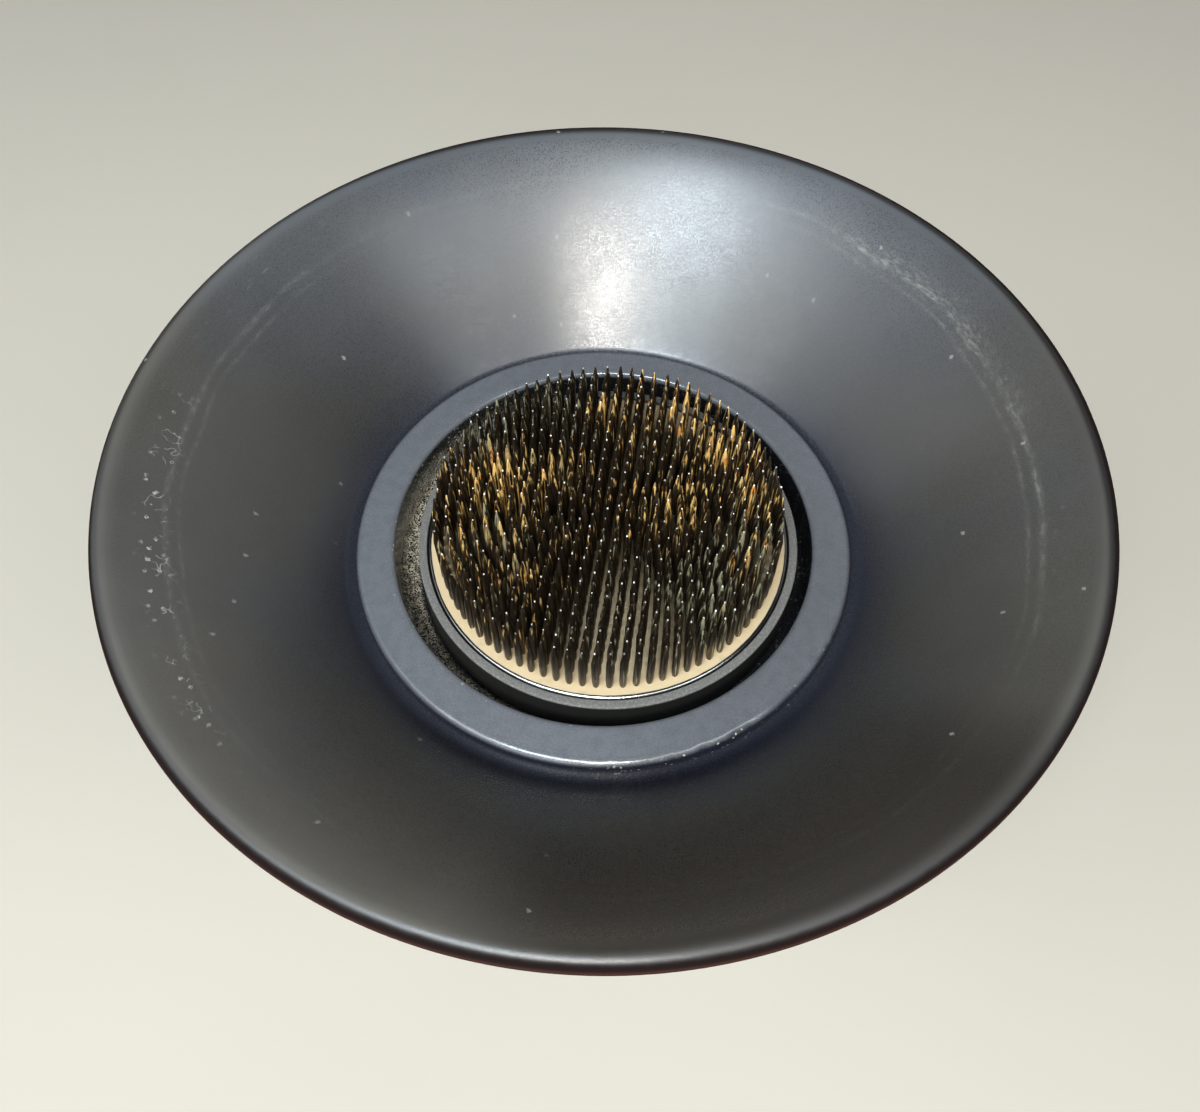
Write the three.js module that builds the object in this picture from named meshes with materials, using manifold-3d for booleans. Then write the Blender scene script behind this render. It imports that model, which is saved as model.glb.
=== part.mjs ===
// Ikebana vase of the usubata kind: a wide flared dish with a raised collar round a shallow well,
// a hollow body that carries the dish, and a round needle holder that stands in the well.
// Millimetres, +Z up. The origin is the centre of the foot, on the surface that the vase stands on.

import * as THREE from 'three';
import { mergeGeometries, mergeVertices } from 'three/addons/utils/BufferGeometryUtils.js';
import Module from 'manifold-3d';

const wasm = await Module();
wasm.setup();

// Sizes of the whole vase
const TOTAL_HEIGHT = 240;
const RIM_RADIUS = 113.5;
const SEAT_GAP = 0.3;

// Sizes of the upper dish
const LIP_RADIUS = 3.6;
const DISH_WALL = 6;
const FLARE_START_SLOPE = 42;
const FLARE_END_SLOPE = 30;
const FLARE_START_REACH = 15;
const FLARE_END_REACH = 12;
const COLLAR_DEPTH = 35.4;
const COLLAR_WIDTH = 10;
const COLLAR_FALL = 0.8;
const COLLAR_EDGE_ROUND = 2.2;
const COLLAR_INNER_ROUND = 1.2;
const COLLAR_SIDE = 1.7;
const COVE_RADIUS = 5;
const WELL_CLEARANCE = 4.65;
const WELL_DEPTH = 13.4;
const WELL_CORNER_ROUND = 2.4;
const WELL_FLOOR_THICKNESS = 8;
const SEAT_STEP = 3;
const SEAT_OVERHANG = 2;
const BOWL_SLOPE = 18;
const BOWL_START_REACH = 10;
const BOWL_END_REACH = 5;
const SPIGOT_WALL = 6;
const SPIGOT_LENGTH = 9;

// Sizes of the lower body
const SPIGOT_CLEARANCE = 0.8;
const SOCKET_EXTRA_DEPTH = 1.2;
const BODY_WALL = 6;
const MOUTH_RADIUS = 47;
const MOUTH_LAND = 10.2;
const MOUTH_EDGE_ROUND = 1.5;
const NECK_LENGTH = 32;
const THROAT_RADIUS = 37;
const BELLY_RADIUS = 55;
const BELLY_LIFT = 12;
const ANKLE_RADIUS = 33;
const ANKLE_HEIGHT = 28;
const BODY_FLOOR_THICKNESS = 11;
const FOOT_RADIUS = 55;
const FOOT_EDGE_HEIGHT = 6;
const FOOT_RING_WIDTH = 11;
const FOOT_RECESS = 3;

// Sizes of the needle holder
const HOLDER_OFFSET_X = 1.2;
const PLATE_RADIUS = 45.5;
const PLATE_THICKNESS = 10;
const PLATE_SHOULDER = 0.8;
const NEEDLE_SLICE = 1.6;
const SLICE_GAP = 0.2;
const NEEDLE_RADIUS = 0.9;
const NEEDLE_HEIGHT = 16.4;
const NEEDLE_TIP_LENGTH = 5;
const NEEDLE_MARGIN = 3.5;
const NEEDLE_RINGS = 14;
const NEEDLE_ROW_ANGLE = 22;
const SECTORS = 6;
const RUBBER_WALL = 2.1;
const RUBBER_FIT = 0.15;
const RUBBER_SOLE = 1.5;
const RUBBER_SOLE_WIDTH = 7;

// How finely round forms are divided
const DISH_SEGMENTS = 48;
const BODY_SEGMENTS = 36;
const HOLDER_SEGMENTS = 40;

// Radii and levels that the pieces share
const RUBBER_INNER = PLATE_RADIUS + RUBBER_FIT;
const RUBBER_OUTER = RUBBER_INNER + RUBBER_WALL;
const WELL_RADIUS = RUBBER_OUTER + WELL_CLEARANCE;
const SOCKET_RADIUS = MOUTH_RADIUS - MOUTH_LAND;
const SPIGOT_RADIUS = SOCKET_RADIUS - SPIGOT_CLEARANCE;
const COLLAR_TOP = TOTAL_HEIGHT - COLLAR_DEPTH;
const WELL_FLOOR = COLLAR_TOP - WELL_DEPTH;
const WELL_UNDERSIDE = WELL_FLOOR - WELL_FLOOR_THICKNESS;
const SEAT_LEVEL = WELL_UNDERSIDE - SEAT_STEP;
const SPIGOT_FOOT = SEAT_LEVEL - SPIGOT_LENGTH;
const MOUTH_LEVEL = SEAT_LEVEL - SEAT_GAP;

const glaze = { color: 0x2b2c30, roughness: 0.42, metalness: 0 };
const lead = { color: 0x77756e, roughness: 0.6, metalness: 0.5 };
const needleMetal = { color: 0x3a2f1c, roughness: 0.35, metalness: 0.9 };
const rubber = { color: 0x5b5c5a, roughness: 0.75, metalness: 0 };

function radians(degrees) {
  return THREE.MathUtils.degToRad(degrees);
}

function point(x, y) {
  return new THREE.Vector2(x, y);
}

// A step of the given length from a point, in a direction given in degrees.
function along(start, degrees, length) {
  const angle = radians(degrees);
  return point(start.x + length * Math.cos(angle), start.y + length * Math.sin(angle));
}

// Points on an arc, both ends included.
function arcPoints(centre, radius, fromDegrees, toDegrees, steps) {
  const points = [];
  for (let i = 0; i <= steps; i += 1) {
    points.push(along(centre, THREE.MathUtils.lerp(fromDegrees, toDegrees, i / steps), radius));
  }
  return points;
}

// Points beside a curve, at a distance that the function gives for each share of the way along.
function besideCurve(curve, steps, distanceAt) {
  const points = [];
  for (let i = 0; i <= steps; i += 1) {
    const share = i / steps;
    const here = curve.getPoint(share);
    const tangent = curve.getTangent(share);
    const distance = distanceAt(share);
    points.push(point(here.x + tangent.y * distance, here.y - tangent.x * distance));
  }
  return points;
}

// A turned solid round the Z axis. The profile lists radius and height, and starts and ends on the axis
// or closes on itself.
function turned(profile, segments) {
  const geometry = new THREE.LatheGeometry(profile, segments);
  geometry.rotateX(Math.PI / 2);
  return closedSurface(geometry);
}

// A copy of a surface that holds positions only, with shared corners merged and empty triangles removed.
function closedSurface(geometry) {
  const bare = geometry.clone();
  bare.deleteAttribute('normal');
  bare.deleteAttribute('uv');
  const merged = mergeVertices(bare, 1e-4);
  const corners = merged.getIndex().array;
  const kept = [];
  for (let i = 0; i < corners.length; i += 3) {
    const [a, b, c] = [corners[i], corners[i + 1], corners[i + 2]];
    if (a !== b && b !== c && c !== a) {
      kept.push(a, b, c);
    }
  }
  merged.setIndex(kept);
  return merged;
}

function toSolid(geometry) {
  const surface = closedSurface(geometry);
  const vertProperties = Float32Array.from(surface.getAttribute('position').array);
  const triVerts = Uint32Array.from(surface.getIndex().array);
  return new wasm.Manifold(new wasm.Mesh({ numProp: 3, vertProperties, triVerts }));
}

function toGeometry(solid) {
  const mesh = solid.getMesh();
  const geometry = new THREE.BufferGeometry();
  geometry.setAttribute('position', new THREE.BufferAttribute(Float32Array.from(mesh.vertProperties), 3));
  geometry.setIndex(new THREE.BufferAttribute(Uint32Array.from(mesh.triVerts), 1));
  return geometry;
}

function piece(name, geometry, finish) {
  const shaded = geometry.toNonIndexed();
  shaded.computeVertexNormals();
  const mesh = new THREE.Mesh(shaded, new THREE.MeshStandardMaterial(finish));
  mesh.name = name;
  return mesh;
}

// The upper dish: flared wall with a rolled lip, raised collar, well, and the spigot under the well
// that stands in the mouth of the lower body.
function upperDish() {
  const collarOuter = WELL_RADIUS + COLLAR_WIDTH;
  const collarOuterTop = COLLAR_TOP - COLLAR_FALL;
  const crease = point(collarOuter, collarOuterTop - COLLAR_EDGE_ROUND - COLLAR_SIDE);
  const lipCentre = point(RIM_RADIUS - LIP_RADIUS, TOTAL_HEIGHT - LIP_RADIUS);

  const coveCentre = point(crease.x, crease.y + COVE_RADIUS);
  const flareStart = along(coveCentre, FLARE_START_SLOPE - 90, COVE_RADIUS);
  const flareEnd = along(lipCentre, FLARE_END_SLOPE + 90, LIP_RADIUS);
  const flare = new THREE.CubicBezierCurve(
    flareStart,
    along(flareStart, FLARE_START_SLOPE, FLARE_START_REACH),
    along(flareEnd, FLARE_END_SLOPE + 180, FLARE_END_REACH),
    flareEnd,
  );

  // The wall thickens towards the lip, where it is as thick as the lip is round.
  const wallAt = (share) => DISH_WALL + (2 * LIP_RADIUS - DISH_WALL) * share * share;
  const underFlare = besideCurve(flare, 5, wallAt);
  const seatEdge = point(MOUTH_RADIUS + SEAT_OVERHANG, SEAT_LEVEL);
  const bowl = new THREE.CubicBezierCurve(
    seatEdge,
    along(seatEdge, BOWL_SLOPE, BOWL_START_REACH),
    along(underFlare[0], FLARE_START_SLOPE + 180, BOWL_END_REACH),
    underFlare[0],
  );

  const profile = [
    point(0, WELL_UNDERSIDE),
    point(SPIGOT_RADIUS - SPIGOT_WALL, WELL_UNDERSIDE),
    point(SPIGOT_RADIUS - SPIGOT_WALL, SPIGOT_FOOT),
    point(SPIGOT_RADIUS, SPIGOT_FOOT),
    point(SPIGOT_RADIUS, SEAT_LEVEL),
    ...bowl.getPoints(3),
    ...underFlare.slice(1, -1),
    ...arcPoints(lipCentre, LIP_RADIUS, FLARE_END_SLOPE - 90, 0, 2),
    ...arcPoints(lipCentre, LIP_RADIUS, 0, 90, 3).slice(1),
    ...flare.getPoints(6).reverse(),
    ...arcPoints(coveCentre, COVE_RADIUS, FLARE_START_SLOPE - 90, -90, 2).slice(1),
    ...arcPoints(
      point(collarOuter - COLLAR_EDGE_ROUND, collarOuterTop - COLLAR_EDGE_ROUND),
      COLLAR_EDGE_ROUND, 0, 90, 3,
    ),
    ...arcPoints(
      point(WELL_RADIUS + COLLAR_INNER_ROUND, COLLAR_TOP - COLLAR_INNER_ROUND),
      COLLAR_INNER_ROUND, 90, 180, 2,
    ),
    ...arcPoints(
      point(WELL_RADIUS - WELL_CORNER_ROUND, WELL_FLOOR + WELL_CORNER_ROUND),
      WELL_CORNER_ROUND, 0, -90, 2,
    ),
    point(0, WELL_FLOOR),
  ];
  return piece('upper_dish', turned(profile, DISH_SEGMENTS), glaze);
}

// A stretch of the body's outline between two radii, upright at both ends.
function sweep(from, to) {
  const middle = (from.y + to.y) / 2;
  return new THREE.CubicBezierCurve(from, point(from.x, middle), point(to.x, middle), to);
}

// The lower body: mouth with a socket for the dish's spigot, throat, belly, ankle and spreading foot,
// hollow down to its floor.
function lowerBody() {
  const mouthEdge = point(MOUTH_RADIUS, MOUTH_LEVEL - MOUTH_EDGE_ROUND);
  const throat = point(THROAT_RADIUS, MOUTH_LEVEL - NECK_LENGTH);
  const ankle = point(ANKLE_RADIUS, ANKLE_HEIGHT);
  const belly = point(BELLY_RADIUS, (throat.y + ankle.y) / 2 + BELLY_LIFT);
  const neckCurve = sweep(throat, mouthEdge);
  const bellyTop = sweep(belly, throat);
  const bellyBottom = sweep(ankle, belly);
  const footEdge = FOOT_EDGE_HEIGHT / 2;
  const footCentre = point(FOOT_RADIUS - footEdge, footEdge);
  const footCurve = new THREE.QuadraticBezierCurve(
    point(footCentre.x, FOOT_EDGE_HEIGHT),
    point(ANKLE_RADIUS, FOOT_EDGE_HEIGHT),
    ankle,
  );

  const socketFloor = SPIGOT_FOOT - SOCKET_EXTRA_DEPTH;
  const inside = (curve, steps) => besideCurve(curve, steps, () => -BODY_WALL).reverse();
  const insideNeck = inside(neckCurve, 6).filter((p) => p.x < SOCKET_RADIUS && p.y < socketFloor);
  const ringInner = FOOT_RADIUS - FOOT_RING_WIDTH;
  const bodyFloor = FOOT_RECESS + BODY_FLOOR_THICKNESS;
  const profile = [
    point(0, FOOT_RECESS),
    point(ringInner - FOOT_RECESS, FOOT_RECESS),
    point(ringInner, 0),
    ...arcPoints(footCentre, footEdge, -90, 90, 4),
    ...footCurve.getPoints(4).slice(1),
    ...bellyBottom.getPoints(7).slice(1),
    ...bellyTop.getPoints(6).slice(1),
    ...neckCurve.getPoints(4).slice(1),
    point(MOUTH_RADIUS - MOUTH_EDGE_ROUND, MOUTH_LEVEL),
    point(SOCKET_RADIUS, MOUTH_LEVEL),
    point(SOCKET_RADIUS, socketFloor),
    ...insideNeck,
    ...inside(bellyTop, 4).slice(1),
    ...inside(bellyBottom, 4).slice(1),
    point(ANKLE_RADIUS - 2 * BODY_WALL, bodyFloor),
    point(0, bodyFloor),
  ];
  return piece('lower_body', turned(profile, BODY_SEGMENTS), glaze);
}

// The lead base that grips the needles, below the slices that carry them.
function leadBase() {
  const top = PLATE_THICKNESS - NEEDLE_SLICE;
  const profile = [
    point(0, 0),
    point(PLATE_RADIUS - PLATE_SHOULDER, 0),
    point(PLATE_RADIUS, PLATE_SHOULDER),
    point(PLATE_RADIUS, top),
    point(0, top),
  ];
  return piece('kenzan_lead_base', turned(profile, HOLDER_SEGMENTS), lead);
}

// The rubber ring stretched round the lead, with a sole that reaches a little way under it.
function rubberRing() {
  const soleInner = PLATE_RADIUS - RUBBER_SOLE_WIDTH;
  const edge = RUBBER_WALL / 4;
  const profile = [
    point(soleInner, -RUBBER_SOLE),
    point(RUBBER_OUTER - edge, -RUBBER_SOLE),
    point(RUBBER_OUTER, edge - RUBBER_SOLE),
    point(RUBBER_OUTER, PLATE_THICKNESS - edge),
    point(RUBBER_OUTER - edge, PLATE_THICKNESS),
    point(RUBBER_INNER, PLATE_THICKNESS),
    point(RUBBER_INNER, -RUBBER_FIT),
    point(soleInner, -RUBBER_FIT),
    point(soleInner, -RUBBER_SOLE),
  ];
  return piece('kenzan_rubber_ring', turned(profile, HOLDER_SEGMENTS), rubber);
}

const SLICE_THICKNESS = NEEDLE_SLICE - SLICE_GAP;
const NEEDLE_ROOT = SLICE_THICKNESS / 2;

// One needle, three-sided, standing on the top of the plate and rooted a little way into it.
function needle(x, y, turn) {
  const profile = [
    point(0, -NEEDLE_ROOT),
    point(NEEDLE_RADIUS, -NEEDLE_ROOT),
    point(NEEDLE_RADIUS, NEEDLE_HEIGHT - NEEDLE_TIP_LENGTH),
    point(0, NEEDLE_HEIGHT),
  ];
  const geometry = turned(profile, 3);
  geometry.rotateZ(turn);
  geometry.translate(x, y, 0);
  return geometry;
}

// A slice of the plate's top, cut to a flat outline of straight edges. Its top is at height zero.
function plateSlice(outline) {
  const shoulder = Math.min(PLATE_SHOULDER, SLICE_THICKNESS / 2);
  const disc = toSolid(turned([
    point(0, -SLICE_THICKNESS),
    point(PLATE_RADIUS, -SLICE_THICKNESS),
    point(PLATE_RADIUS, -shoulder),
    point(PLATE_RADIUS - shoulder, 0),
    point(0, 0),
  ], HOLDER_SEGMENTS));
  const cutter = new THREE.ExtrudeGeometry(new THREE.Shape(outline), {
    depth: 3 * NEEDLE_SLICE,
    bevelEnabled: false,
  });
  cutter.translate(0, 0, -2 * NEEDLE_SLICE);
  return disc.intersect(toSolid(cutter));
}

// Ring k holds SECTORS * k needles, so every sector holds k of each ring. The cuts between sectors run
// half a step beside the rows of needles, and leave a small middle piece for the centre needle.
const NEEDLE_PITCH = (PLATE_RADIUS - NEEDLE_MARGIN) / NEEDLE_RINGS;
const SECTOR_ANGLE = (2 * Math.PI) / SECTORS;
const CUT_OFFSET = (NEEDLE_PITCH * SECTOR_ANGLE) / 2;
const NEAR_CUT = CUT_OFFSET - SEAT_GAP / 2;
const FAR_CUT = CUT_OFFSET + SEAT_GAP / 2;

// A point at a distance along a row of needles and a distance to the right of it.
function besideRow(angle, distance, right) {
  return point(
    distance * Math.cos(angle) + right * Math.sin(angle),
    distance * Math.sin(angle) - right * Math.cos(angle),
  );
}

// The sector's outline: from the point where its two cuts meet, out past the plate's edge and back.
function sectorOutline() {
  const far = 2 * PLATE_RADIUS;
  const apexReach = (FAR_CUT - NEAR_CUT * Math.cos(SECTOR_ANGLE)) / Math.sin(SECTOR_ANGLE);
  return [
    besideRow(0, apexReach, NEAR_CUT),
    besideRow(0, far, NEAR_CUT),
    besideRow(SECTOR_ANGLE / 2, 2 * far, 0),
    besideRow(SECTOR_ANGLE, far, FAR_CUT),
  ];
}

function needleSector() {
  const needles = [];
  for (let ring = 1; ring <= NEEDLE_RINGS; ring += 1) {
    for (let i = 0; i < ring; i += 1) {
      const angle = (SECTOR_ANGLE * i) / ring;
      const radius = ring * NEEDLE_PITCH;
      needles.push(needle(radius * Math.cos(angle), radius * Math.sin(angle), angle));
    }
  }
  return toGeometry(plateSlice(sectorOutline()).add(toSolid(mergeGeometries(needles))));
}

function centreNeedle() {
  const corner = NEAR_CUT / Math.cos(SECTOR_ANGLE / 2);
  const outline = [];
  for (let i = 0; i < SECTORS; i += 1) {
    outline.push(along(point(0, 0), (360 * (i + 0.5)) / SECTORS - 90, corner));
  }
  return toGeometry(plateSlice(outline).add(toSolid(needle(0, 0, 0))));
}

// The whole needle holder, standing on the floor of the well.
function needleHolder() {
  const holder = new THREE.Group();
  holder.add(leadBase());
  holder.add(rubberRing());
  const field = new THREE.Group();
  const sector = needleSector();
  for (let i = 0; i < SECTORS; i += 1) {
    const mesh = piece(`kenzan_needles_${i + 1}`, sector, needleMetal);
    mesh.rotation.z = i * SECTOR_ANGLE;
    field.add(mesh);
  }
  field.add(piece('kenzan_centre_needle', centreNeedle(), needleMetal));
  field.position.z = PLATE_THICKNESS;
  field.rotation.z = radians(NEEDLE_ROW_ANGLE);
  holder.add(field);
  holder.position.set(HOLDER_OFFSET_X, 0, WELL_FLOOR + RUBBER_SOLE + SEAT_GAP);
  return holder;
}

const vase = new THREE.Group();
vase.add(lowerBody());
vase.add(upperDish());
vase.add(needleHolder());

export default vase;
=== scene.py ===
"""Dresses the ikebana vase: a flared dish with a needle holder in its well, on a hollow footed body.

Metres, +Z up. The origin is the centre of the foot, on the surface that the vase stands on. -Y is
towards the viewer of the main view and +X to the viewer's right.
"""

from __future__ import annotations

import logging
import math
from dataclasses import dataclass
from enum import Enum
from typing import Any, TypeAlias

import bpy
import numpy as np
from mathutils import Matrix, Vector


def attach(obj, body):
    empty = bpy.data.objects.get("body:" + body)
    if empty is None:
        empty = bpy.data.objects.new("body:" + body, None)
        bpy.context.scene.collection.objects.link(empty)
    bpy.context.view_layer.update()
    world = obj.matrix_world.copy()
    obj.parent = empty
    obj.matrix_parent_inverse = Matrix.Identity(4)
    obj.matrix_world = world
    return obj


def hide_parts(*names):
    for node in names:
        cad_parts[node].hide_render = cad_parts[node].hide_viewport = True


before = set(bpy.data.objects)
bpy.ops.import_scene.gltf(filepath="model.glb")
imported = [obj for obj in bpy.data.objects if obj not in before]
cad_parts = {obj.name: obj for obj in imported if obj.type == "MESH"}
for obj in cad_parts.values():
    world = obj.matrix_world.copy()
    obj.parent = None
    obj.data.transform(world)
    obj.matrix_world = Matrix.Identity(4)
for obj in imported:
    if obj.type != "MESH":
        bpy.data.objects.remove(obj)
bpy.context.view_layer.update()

LOG = logging.getLogger("vase")

Array: TypeAlias = np.ndarray
Point: TypeAlias = Array | tuple[float, float]
Colour: TypeAlias = tuple[float, float, float]
Number: TypeAlias = "Signal | float"
Sockets: TypeAlias = dict[int | str, Any]

MM = 0.001
SAME_POINT = 1e-7
BLACK: Colour = (0.0, 0.0, 0.0)
RIM_RADIUS = 113.5 * MM
COLLAR_RADIUS = 62.4 * MM
COLLAR_LEVEL = 204.6 * MM
WELL_RADIUS = 52.4 * MM
WELL_FLOOR = 191.2 * MM


class Wear(Enum):
    """Where a glazed piece shows its use."""

    WATERLINE = "waterline"
    FOOT = "foot"


def direction(degrees: float) -> Array:
    """The unit vector that points at an angle in degrees: (cos a, sin a)."""
    angle = math.radians(degrees)
    return np.array([math.cos(angle), math.sin(angle)])


def put(name: str, data: bpy.types.ID) -> bpy.types.Object:
    """A new object in the scene that shows the data.

    Args:
        name: the object's name.
        data: its mesh, lamp or camera.

    Returns:
        The object, at the origin.
    """
    made = bpy.data.objects.new(name, data)
    bpy.context.scene.collection.objects.link(made)
    return made


def arc(centre: Point, radius: float, start: float, end: float, steps: int) -> Array:
    """Points on an arc: centre plus radius times (cos a, sin a), with a even from start to end.

    Args:
        centre: the arc's centre, as radius and height.
        radius: the arc's own radius.
        start: first angle in degrees.
        end: last angle in degrees.
        steps: how many parts the arc has.

    Returns:
        steps + 1 points, one a row.
    """
    angles = np.radians(np.linspace(start, end, steps + 1))
    return np.asarray(centre) + radius * np.column_stack((np.cos(angles), np.sin(angles)))


def bezier(a: Array, leave: Array, d: Array, arrive: Array, steps: int) -> Array:
    """Points on a cubic Bezier curve: a(1-t)^3 + 3b t(1-t)^2 + 3c t^2(1-t) + d t^3, with t even,
    where the handles are b = a + leave and c = d - arrive.

    Args:
        a: first end.
        leave: the first handle's step.
        d: second end.
        arrive: the second handle's step.
        steps: how many parts the curve has.

    Returns:
        steps + 1 points, one a row.
    """
    t = np.linspace(0.0, 1.0, steps + 1)[:, None]
    s = 1.0 - t
    return a * s**3 + 3 * (a + leave) * t * s**2 + 3 * (d - arrive) * t**2 * s + d * t**3


def corner(tip: Point, radius: float, start: float, end: float, steps: int) -> Array:
    """A square corner rounded off, by an arc whose centre lies in from the tip by the radius times
    the square root of 2, along the middle of its angles.

    Args:
        tip: where the corner would be if it were sharp.
        radius: the arc's radius.
        start: first angle in degrees.
        end: last angle, 90 degrees from the first.
        steps: how many parts the arc has.

    Returns:
        steps + 1 points, one a row.
    """
    centre = np.asarray(tip) - math.sqrt(2) * radius * direction((start + end) / 2)
    return arc(centre, radius, start, end, steps)


def beside(curve: Array, distance: float | Array) -> Array:
    """The curve moved sideways to its right by a distance: each point plus distance times (dy, -dx)
    of the unit tangent.

    Args:
        curve: points, one a row.
        distance: one distance, or one for each point.

    Returns:
        The moved points.
    """
    tangent = np.gradient(curve, axis=0, edge_order=2)
    tangent /= np.linalg.norm(tangent, axis=1, keepdims=True)
    return curve + np.column_stack((tangent[:, 1], -tangent[:, 0])) * np.reshape(distance, (-1, 1))


def profile(*parts: Point | int) -> Array:
    """One outline from curves and single points in a row. A whole number between two of them stands
    for a straight line in as many steps, and a point that comes twice is kept once.

    Args:
        parts: the curves, points and numbers.

    Returns:
        Radius and height, one point a row.
    """
    curves = [part if isinstance(part, int) else np.atleast_2d(part) for part in parts]
    points = np.vstack([
        np.linspace(curves[i - 1][-1], curves[i + 1][0], part + 1) if isinstance(part, int) else part
        for i, part in enumerate(curves)
    ])
    keep = np.ones(len(points), bool)
    keep[1:] = np.linalg.norm(np.diff(points, axis=0), axis=1) > SAME_POINT
    return points[keep]


@dataclass
class Surface:
    """A mesh as arrays: points, four-sided faces and three-sided faces."""

    points: Array
    quads: Array
    triangles: Array

    def outward(self) -> Surface:
        """This surface with its faces turned outwards, by the sign of the volume that it holds.

        Returns:
            The surface, with every face reversed where the volume came out negative.
        """
        split = np.vstack((self.quads[:, [0, 1, 2]], self.quads[:, [0, 2, 3]], self.triangles))
        a, b, c = (self.points[split[:, i]] for i in range(3))
        if np.einsum("ij,ij->", a, np.cross(b, c)) < 0:
            return Surface(self.points, self.quads[:, ::-1], self.triangles[:, ::-1])
        return self

    def make(self, name: str, material: bpy.types.Material, crease: float = 40.0) -> bpy.types.Object:
        """Puts the surface into a new object at the origin, smooth but for edges past the crease.

        Args:
            name: the piece's name.
            material: its finish.
            crease: angle in degrees from which an edge stays sharp.

        Returns:
            The new object.
        """
        mesh = bpy.data.meshes.new(name)
        mesh.from_pydata(self.points.tolist(), [], self.quads.tolist() + self.triangles.tolist())
        mesh.validate()
        mesh.shade_smooth()
        mesh.set_sharp_from_angle(angle=math.radians(crease))
        mesh.materials.append(material)
        return put(name, mesh)


def turned(outline: Array, segments: int, centre_x: float = 0.0) -> Surface:
    """A surface of revolution: each outline point (r, z) goes round to (r cos a, r sin a, z), with a
    even round the circle. An outline that starts and ends on the axis is closed by a pole at each
    end, and any other closes on itself.

    Args:
        outline: radius and height, one point a row.
        segments: how many parts the circle has.
        centre_x: where the upright axis stands.

    Returns:
        The closed surface, facing outwards.
    """
    poles = outline[0, 0] == 0.0
    rings = outline[1:-1] if poles else outline
    angles = np.linspace(0.0, 2 * np.pi, segments, endpoint=False)
    points = np.stack((
        np.outer(rings[:, 0], np.cos(angles)),
        np.outer(rings[:, 0], np.sin(angles)),
        np.repeat(rings[:, 1:], segments, axis=1),
    ), axis=-1).reshape(-1, 3)
    index = np.arange(len(rings) * segments).reshape(len(rings), segments)
    lower, upper = (index[:-1], index[1:]) if poles else (index, np.roll(index, -1, axis=0))
    quads = np.stack((
        lower, np.roll(lower, -1, axis=1), np.roll(upper, -1, axis=1), upper,
    ), axis=-1).reshape(-1, 4)
    triangles = np.zeros((0, 3), int)
    if poles:
        first, last = len(points), len(points) + 1
        points = np.vstack((points, (0.0, 0.0, outline[0, 1]), (0.0, 0.0, outline[-1, 1])))
        triangles = np.vstack((
            np.column_stack((np.full(segments, first), np.roll(index[0], -1), index[0])),
            np.column_stack((np.full(segments, last), index[-1], np.roll(index[-1], -1))),
        ))
    return Surface(points + (centre_x, 0.0, 0.0), quads, triangles).outward()


class Signal:
    """One value or colour in a material's node tree. Arithmetic on values adds their Math nodes."""

    def __init__(self, graph: Graph, socket: bpy.types.NodeSocket) -> None:
        """Wraps an output socket of the graph."""
        self.graph = graph
        self.socket = socket

    def _math(self, operation: str, *values: Number) -> Signal:
        """The result of one Math node on the values."""
        return self.graph.node("ShaderNodeMath", dict(enumerate(values)), operation=operation)

    def __add__(self, other: Number) -> Signal:
        """This plus other."""
        return self._math("ADD", self, other)

    def __sub__(self, other: Number) -> Signal:
        """This minus other."""
        return self._math("SUBTRACT", self, other)

    def __rsub__(self, other: Number) -> Signal:
        """Other minus this."""
        return self._math("SUBTRACT", other, self)

    def __mul__(self, other: Number) -> Signal:
        """This times other."""
        return self._math("MULTIPLY", self, other)

    def __truediv__(self, other: Number) -> Signal:
        """This over other."""
        return self._math("DIVIDE", self, other)

    __radd__ = __add__
    __rmul__ = __mul__

    def root(self) -> Signal:
        """The square root."""
        return self._math("SQRT", self)

    def bell(self, centre: Number, width: float) -> Signal:
        """A bell curve that is 1 at the centre: e to the power -((this - centre) / width) squared."""
        share = (self - centre) / width
        return self._math("EXPONENT", share * share * -1.0)

    def rise(self, low: float, high: float) -> Signal:
        """A smooth step from 0 at low to 1 at high, or down from 1 where high is the lower one.

        Args:
            low: value where the step is 0.
            high: value where the step is 1.

        Returns:
            The step, between 0 and 1.
        """
        if low > high:
            return 1.0 - self.rise(high, low)
        span = {"Value": self, "From Min": low, "From Max": high}
        return self.graph.node("ShaderNodeMapRange", span, interpolation_type="SMOOTHSTEP")


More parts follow.
